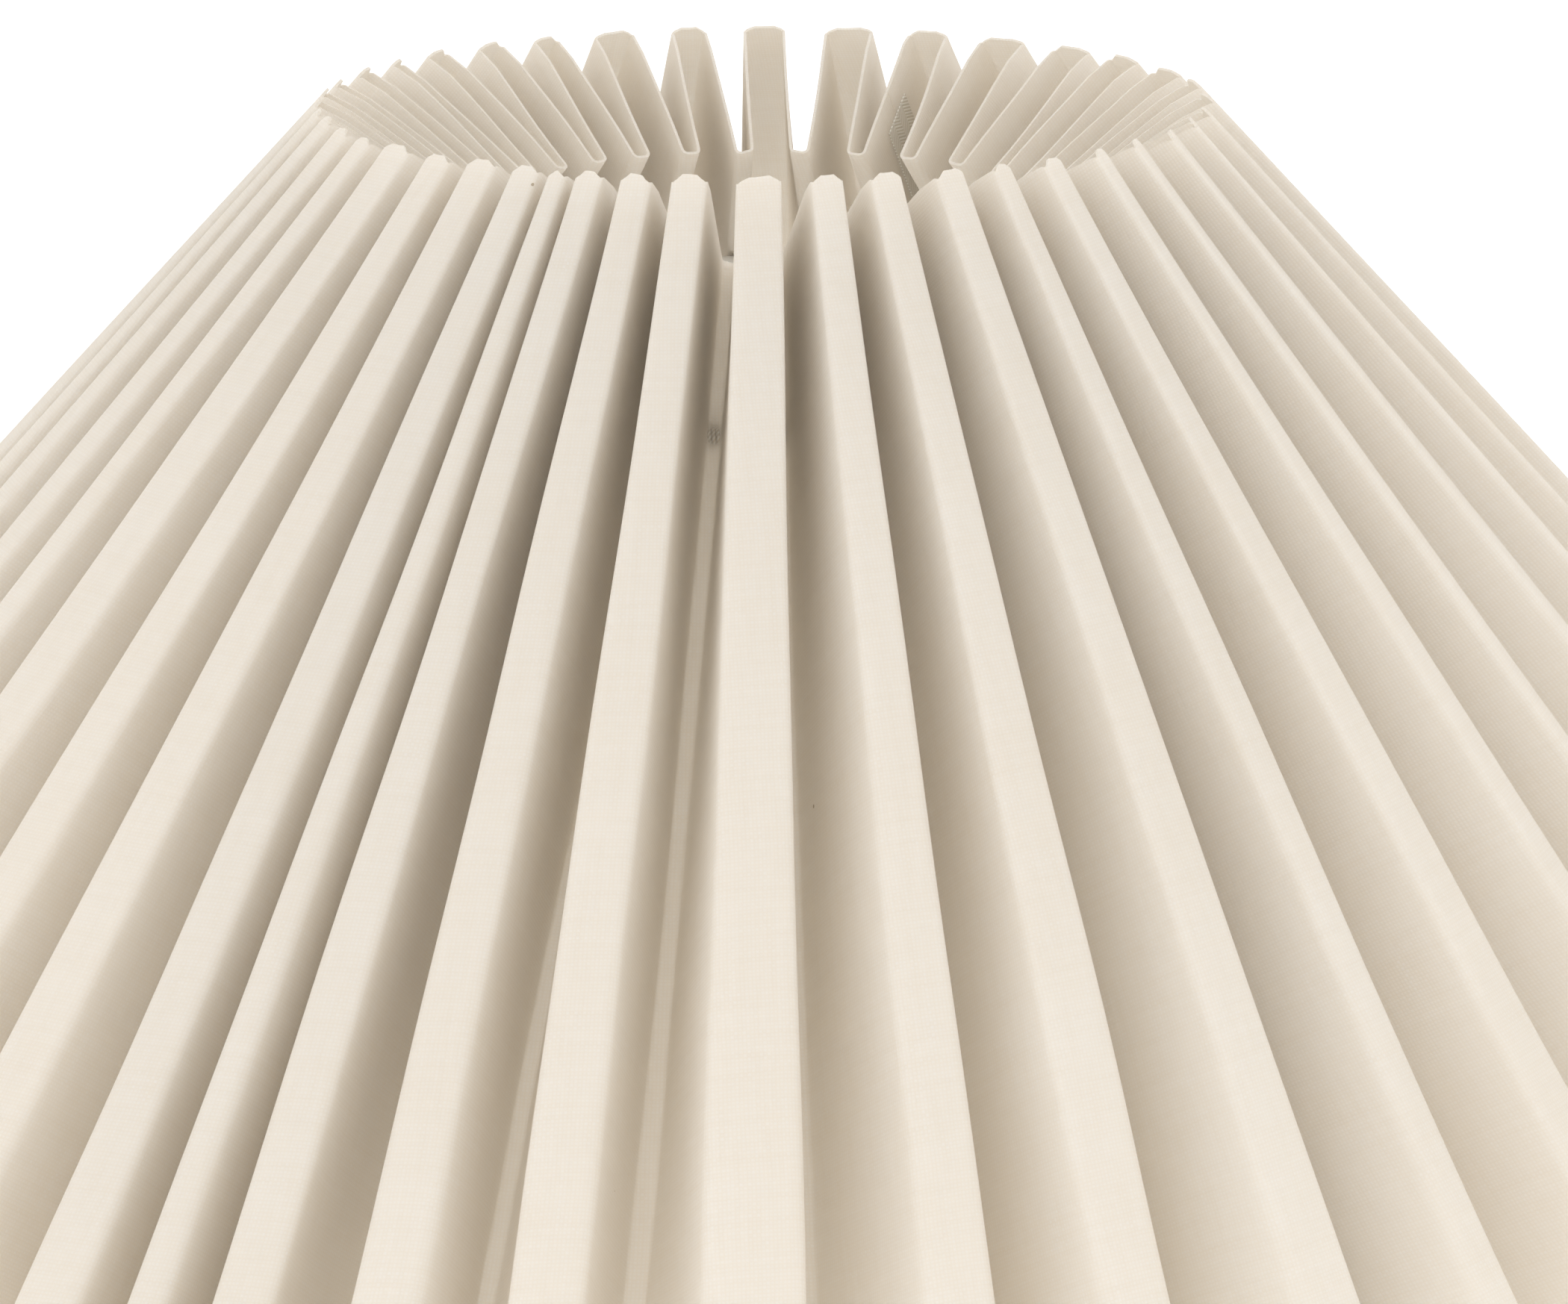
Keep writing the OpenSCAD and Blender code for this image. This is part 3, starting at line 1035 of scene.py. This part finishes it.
def thicken(piece: bpy.types.Object, thickness: float) -> None:
    """Gives a sheet its thickness towards the lamp, with a second material on that side."""
    hold(piece)
    solid = piece.modifiers.new("thickness", "SOLIDIFY")
    solid.thickness = thickness * MM
    solid.offset = -1.0
    solid.use_even_offset = True
    solid.use_quality_normals = True
    solid.material_offset = 1
    piece.data.materials.append(None)
    piece.data.materials.append(None)
    bpy.ops.object.modifier_apply(modifier=solid.name)


# ---------------------------------------------------------------------------------------------
# The wire frame
# ---------------------------------------------------------------------------------------------


@dataclass
class WireFrame:
    """Rings, struts, fitter ring and spider arms, welded and powder coated."""

    sizes: CoverSizes = field(default_factory=CoverSizes)
    struts: int = 6
    arms: int = 3
    ring_steps: int = 192
    wire_sides: int = 20
    weld_swell: float = 1.35

    def build_ring(self, name: str, z: float, weld_azimuth: float) -> bpy.types.Object:
        """Builds a ring of round wire, with the small swelling of its butt weld.

        Args:
            name: The ring's name.
            z: Height of the wire.
            weld_azimuth: Where the wire's two ends were welded together, in degrees.

        Returns:
            The ring.
        """
        r = self.sizes.ring_r(z) * MM
        deselect_all()
        bpy.ops.mesh.primitive_torus_add(
            location=(0, 0, z * MM),
            major_segments=self.ring_steps,
            minor_segments=self.wire_sides,
            major_radius=r,
            minor_radius=self.sizes.ring_wire_d / 2 * MM,
        )
        ring = bpy.context.object
        weld = Vector(around(weld_azimuth) * r)
        bpy.ops.object.mode_set(mode="EDIT")
        for reach, swell in ((2.6, 0.12), (1.4, 0.16)):
            pick_faces(
                ring,
                lambda face, reach=reach: (face.calc_center_median() - weld).length
                < (self.sizes.ring_wire_d / 2 + reach) * MM,
            )
            bpy.ops.transform.shrink_fatten(value=swell * MM)
        return settle(ring, name)

    def grow(self, wire: bpy.types.Object, toward: Vector, profile: Sequence[tuple[float, float]]) -> None:
        """Draws a selected end face out in steps, each a length and a share of the present width.

        Args:
            wire: The piece in edit mode, with its end face selected.
            toward: The unit direction of growth.
            profile: Length in millimetres and change of width for each step.
        """
        for length, width in profile:
            bpy.ops.mesh.extrude_region_move(
                TRANSFORM_OT_translate={"value": tuple(toward * (length * MM))}
            )
            if width != 1:
                shape = bmesh.from_edit_mesh(wire.data)
                chosen = [v.co for v in shape.verts if v.select]
                centre = sum(chosen, Vector()) / len(chosen)
                bpy.ops.transform.resize(value=(width, width, width), center_override=centre)

    def build_strut(self, n: int) -> bpy.types.Object:
        """Builds strut n: a straight wire whose ends swell into the welds on both rings."""
        s = self.sizes
        azimuth = 90 + (n - 1) * 360 / self.struts
        top = Vector(around(azimuth) * s.ring_r(s.top_ring_z)) + Vector((0, 0, s.top_ring_z))
        low = Vector(around(azimuth) * s.ring_r(s.bottom_ring_z)) + Vector((0, 0, s.bottom_ring_z))
        toward = (low - top).normalized()
        start = top + toward * (s.ring_wire_d / 2 - 0.8)
        length = (low - top).length - (s.ring_wire_d - 1.6)
        deselect_all()
        bpy.ops.mesh.primitive_circle_add(
            vertices=self.wire_sides,
            radius=s.strut_wire_d / 2 * self.weld_swell * MM,
            fill_type="NGON",
            location=start * MM,
            rotation=toward.to_track_quat("Z", "Y").to_euler(),
        )
        wire = bpy.context.object
        bpy.ops.object.transform_apply(location=True, rotation=True, scale=True)
        bpy.ops.object.mode_set(mode="EDIT")
        bpy.ops.mesh.select_all(action="SELECT")
        neck, foot = 1 / self.weld_swell, self.weld_swell
        middle = length - 2 * 3.2
        self.grow(
            wire,
            toward,
            [(1.0, 0.97), (0.9, 0.90), (1.3, neck / (0.97 * 0.90))]
            + [(middle / 6, 1.0)] * 6
            + [(1.3, foot * 0.97 * 0.90), (0.9, 1 / 0.90), (1.0, 1 / 0.97)],
        )
        return settle(wire, f"strut_wire_{n}")

    def build_fitter(self) -> bpy.types.Object:
        """Builds the fitter ring, a stamped washer with eased edges."""
        s = self.sizes
        deselect_all()
        bpy.ops.mesh.primitive_circle_add(
            vertices=128, radius=s.fitter_r * MM, fill_type="NGON", location=(0, 0, -s.fitter_t / 2 * MM)
        )
        plate = bpy.context.object
        bpy.ops.object.transform_apply(location=True, rotation=True, scale=True)
        bpy.ops.object.mode_set(mode="EDIT")
        bpy.ops.mesh.select_all(action="SELECT")
        bpy.ops.mesh.inset(thickness=s.fitter_band * MM, depth=0)
        pick_faces(plate, lambda face: len(face.verts) > 4)
        bpy.ops.mesh.delete(type="FACE")
        bpy.ops.mesh.select_all(action="SELECT")
        bpy.ops.mesh.extrude_region_move(TRANSFORM_OT_translate={"value": (0, 0, s.fitter_t * MM)})
        pick_edges(
            plate,
            lambda edge: abs(edge.verts[0].co.z - edge.verts[1].co.z) < 1e-6
            and abs(edge.verts[0].co.xy.length - edge.verts[1].co.xy.length) < 1e-6,
        )
        bpy.ops.mesh.bevel(offset=0.3 * MM, segments=3)
        return settle(plate, "fitter_plate", 30.0)

    def build_arm(self, n: int) -> bpy.types.Object:
        """Builds spider arm n: a wire bent up from the fitter ring and out to the top ring."""
        s = self.sizes
        azimuth = 180 + (n - 1) * 360 / self.arms
        run = s.ring_r(s.top_ring_z) - s.fitter_r - 2 * s.arm_end
        rise = math.atan2(s.fitter_drop, run)
        bend_r = 5.0
        used = bend_r * math.tan(rise / 2)
        slope = math.hypot(run, s.fitter_drop) - 2 * used
        wire_r = s.arm_wire_d / 2
        deselect_all()
        bpy.ops.mesh.primitive_circle_add(
            vertices=self.wire_sides,
            radius=wire_r * MM,
            fill_type="NGON",
            location=((s.fitter_r - wire_r * 0.6) * MM, 0, 0),
            rotation=(0, math.radians(90), 0),
        )
        wire = bpy.context.object
        bpy.ops.object.transform_apply(location=True, rotation=True, scale=True)
        bpy.ops.object.mode_set(mode="EDIT")
        bpy.ops.mesh.select_all(action="SELECT")
        level = Vector((1, 0, 0))
        climb = Vector((math.cos(rise), 0, math.sin(rise)))
        self.grow(wire, level, [(s.arm_end - used + wire_r * 0.6, 1.0)])
        first = Vector((s.fitter_r + s.arm_end - used, 0, bend_r))
        bpy.ops.mesh.spin(steps=8, angle=rise, center=first * MM, axis=(0, 1, 0))
        self.grow(wire, climb, [(slope, 1.0)])
        second = Vector((s.fitter_r + s.arm_end + run + used, 0, s.fitter_drop - bend_r))
        bpy.ops.mesh.spin(steps=8, angle=-rise, center=second * MM, axis=(0, 1, 0))
        self.grow(wire, level, [(s.arm_end - used - 1.4, 1.0)])
        bpy.ops.object.mode_set(mode="OBJECT")
        turn = math.atan2(around(azimuth)[1], around(azimuth)[0])
        wire.rotation_euler = Euler((0, 0, turn))
        return settle(wire, f"arm_wire_{n}")


# ---------------------------------------------------------------------------------------------
# Stitches
# ---------------------------------------------------------------------------------------------


@dataclass
class Stitching:
    """Whip stitches that tie each inner fold to a ring's wire."""

    sizes: CoverSizes = field(default_factory=CoverSizes)
    layout: PleatLayout = field(default_factory=PleatLayout)
    turn_spacing: float = 0.72
    loop_steps: int = 14
    thread_sides: int = 6
    slant: float = 9.0

    def one_turn(self) -> bpy.types.Object:
        """Models one turn of thread round the wire and through the cloth, at the origin."""
        s = self.sizes
        thread_r = s.thread_d / 2
        deselect_all()
        bpy.ops.mesh.primitive_torus_add(
            major_segments=self.loop_steps,
            minor_segments=self.thread_sides,
            major_radius=(s.ring_wire_d / 2 + thread_r * 0.8) * MM,
            minor_radius=thread_r * MM,
            rotation=(math.radians(90), 0, 0),
            generate_uvs=True,
        )
        loop = bpy.context.object
        bpy.ops.object.transform_apply(location=True, rotation=True, scale=True)
        reach = s.ring_gap + s.cloth_t
        bpy.ops.object.mode_set(mode="EDIT")
        pick_faces(loop, lambda face: face.calc_center_median().x > 0)
        bpy.ops.transform.translate(value=(reach * MM, 0, 0))
        bpy.ops.object.mode_set(mode="OBJECT")
        return loop

    def build(self, name: str, z: float) -> bpy.types.Object:
        """Copies the turn round the ring, a few to each inner fold, and joins the copies.

        Args:
            name: The finished piece's name.
            z: Height of the ring's wire.

        Returns:
            All the stitches of one ring.
        """
        s = self.sizes
        r = s.ring_r(z)
        master = self.one_turn()
        copies = []
        for k in range(self.layout.count):
            width = s.stitch_share * s.fold_width_at(z) * self.layout.fold_share(k)
            turns = max(2, int(width / self.turn_spacing) + 1)
            spacing = min(self.turn_spacing, width / turns * 1.1)
            for n in range(turns):
                away = (n - (turns - 1) / 2) * spacing
                azimuth = self.layout.fold(k) + math.degrees(away / r)
                copy = master.copy()
                copy.data = master.data.copy()
                bpy.context.scene.collection.objects.link(copy)
                turn = math.atan2(around(azimuth)[1], around(azimuth)[0])
                lean = Matrix.Rotation(s.fold_slope, 4, "Y").inverted()
                slant = Matrix.Rotation(math.radians(self.slant * (1 if k % 2 else -1)), 4, "X")
                copy.matrix_world = (
                    Matrix.Translation(Vector(around(azimuth) * r * MM) + Vector((0, 0, z * MM)))
                    @ Matrix.Rotation(turn, 4, "Z")
                    @ lean
                    @ slant
                )
                copies.append(copy)
        deselect_all()
        for copy in copies:
            copy.select_set(True)
        bpy.context.view_layer.objects.active = copies[0]
        bpy.ops.object.join()
        joined = bpy.context.object
        bpy.data.objects.remove(master)
        hold(joined)
        bpy.ops.object.transform_apply(location=True, rotation=True, scale=True)
        bpy.ops.object.shade_smooth_by_angle(angle=math.radians(80))
        joined.name = name
        deselect_all()
        return joined


# ---------------------------------------------------------------------------------------------
# Studio
# ---------------------------------------------------------------------------------------------


@dataclass
class Studio:
    """Paper floor, soft white light and the camera."""

    image_w: int = 2100
    focal_px: float = 7167.0
    camera_back: float = 0.9
    camera_rise: float = 0.1532
    pitch: float = 15.60
    yaw: float = 0.215
    roll: float = -0.17
    floor_size: float = 16.0
    world_light: float = 0.98
    key_power: float = 3.0
    key_size: float = 0.9
    key_place: tuple[float, float, float] = (-0.6, -1.55, 1.6)

    def build_floor(self, z: float) -> None:
        """Lays the paper under the lowest point of the shade."""
        deselect_all()
        bpy.ops.mesh.primitive_plane_add(size=self.floor_size, location=(0, 0, z))
        floor = bpy.context.object
        bpy.ops.object.mode_set(mode="EDIT")
        bpy.ops.mesh.subdivide(number_cuts=3)
        bpy.ops.object.mode_set(mode="OBJECT")
        settle(floor, "paper_floor")
        floor.data.materials.append(StudioPaper().build())

    def build_lights(self) -> None:
        """Hangs the soft key light and sets the white surroundings."""
        world = bpy.data.worlds.new("white_room")
        world.use_nodes = True
        background = next(n for n in world.node_tree.nodes if n.type == "BACKGROUND")
        background.inputs["Color"].default_value = linear("ffffff")
        background.inputs["Strength"].default_value = self.world_light
        bpy.context.scene.world = world
        light = bpy.data.lights.new("soft_key", "AREA")
        light.energy = self.key_power
        light.size = self.key_size
        light.color = linear("fffdfa")[:3]
        lamp = bpy.data.objects.new("soft_key", light)
        lamp.location = self.key_place
        aim = Vector((0, 0, 0)) - Vector(self.key_place)
        lamp.rotation_euler = aim.to_track_quat("-Z", "Y").to_euler()
        bpy.context.scene.collection.objects.link(lamp)
        bpy.context.scene.view_settings.view_transform = "Standard"

    def build_camera(self, top_z: float) -> None:
        """Sets the camera in front of the shade, a little above it."""
        pitch, yaw, roll = (math.radians(a) for a in (self.pitch, self.yaw, self.roll))
        forward = Vector(
            (math.sin(yaw) * math.cos(pitch), math.cos(yaw) * math.cos(pitch), -math.sin(pitch))
        )
        level = Vector((math.cos(yaw), -math.sin(yaw), 0))
        upright = level.cross(forward)
        right = math.cos(roll) * level + math.sin(roll) * upright
        up = math.cos(roll) * upright - math.sin(roll) * level
        data = bpy.data.cameras.new("camera")
        data.sensor_width = 36.0
        data.lens = self.focal_px / self.image_w * data.sensor_width
        data.clip_start = 0.01
        camera = bpy.data.objects.new("camera", data)
        turn = Matrix((right, up, -forward)).transposed().to_4x4()
        camera.matrix_world = (
            Matrix.Translation((0, -self.camera_back, top_z + self.camera_rise)) @ turn
        )
        bpy.context.scene.collection.objects.link(camera)
        bpy.context.scene.camera = camera


# ---------------------------------------------------------------------------------------------
# The whole shade
# ---------------------------------------------------------------------------------------------


@dataclass
class LampShade:
    """The shade: cover, tapes, frame and stitches, each piece standing for its CAD node."""

    sizes: CoverSizes = field(default_factory=CoverSizes)
    layout: PleatLayout = field(default_factory=PleatLayout)

    def __post_init__(self) -> None:
        """Makes the finishes and the makers of each sub-assembly."""
        self.linen = Linen().build()
        self.film = BackingFilm().build()
        self.tape = CottonTape().build()
        self.coat = PowderCoat().build()
        self.thread = SewingThread().build()
        self.cover = PleatedCover(self.sizes, self.layout)
        self.wires = WireFrame(self.sizes)
        self.stitching = Stitching(self.sizes, self.layout)

    def add_cover(self) -> None:
        """Adds the three panels and the tapes behind their seams."""
        for p in range(1, self.sizes.panels + 1):
            panel = self.cover.build_panel(p)
            dress(panel, Slot.LINEN, self.linen, self.film)
            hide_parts(f"cover_panel_{p}")
            LOG.info("%s, cut %.3f by %.3f m", panel.name, *self.cover.flat)
            tape = self.cover.build_tape(p)
            dress(tape, Slot.TAPE, self.tape, self.tape)
            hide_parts(f"seam_tape_{p}")
            LOG.info("%s, cut %.3f by %.3f m", tape.name, *self.cover.tape_flat)

    def add_frame(self) -> None:
        """Adds the rings, struts, fitter ring and spider arms."""
        s = self.sizes
        pieces = [
            (self.wires.build_ring("top_ring_wire", s.top_ring_z, 30.0), "top_ring"),
            (self.wires.build_ring("bottom_ring_wire", s.bottom_ring_z, 205.0), "bottom_ring"),
            (self.wires.build_fitter(), "fitter_ring"),
        ]
        pieces += [
            (self.wires.build_strut(n), f"strut_{n}") for n in range(1, self.wires.struts + 1)
        ]
        pieces += [
            (self.wires.build_arm(n), f"spider_arm_{n}") for n in range(1, self.wires.arms + 1)
        ]
        for piece, node in pieces:
            dress(piece, Slot.FRAME_WIRE, self.coat)
            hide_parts(node)
            LOG.info("%s", piece.name)

    def add_stitches(self) -> None:
        """Adds the stitches at both rings."""
        for name, node, z in (
            ("top_thread", "top_stitches", self.sizes.top_ring_z),
            ("bottom_thread", "bottom_stitches", self.sizes.bottom_ring_z),
        ):
            thread = self.stitching.build(name, z)
            dress(thread, Slot.THREAD, self.thread)
            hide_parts(node)
            LOG.info("%s", thread.name)


def main() -> None:
    """Builds the studio and the shade."""
    logging.basicConfig(level=logging.INFO, format="%(name)s: %(message)s")
    shade = LampShade()
    studio = Studio()
    studio.build_camera(shade.sizes.top_z * MM)
    shade.add_frame()
    shade.add_cover()
    shade.add_stitches()
    studio.build_floor(CAD_BOX[0][2])
    studio.build_lights()


if __name__ == "__main__":
    main()
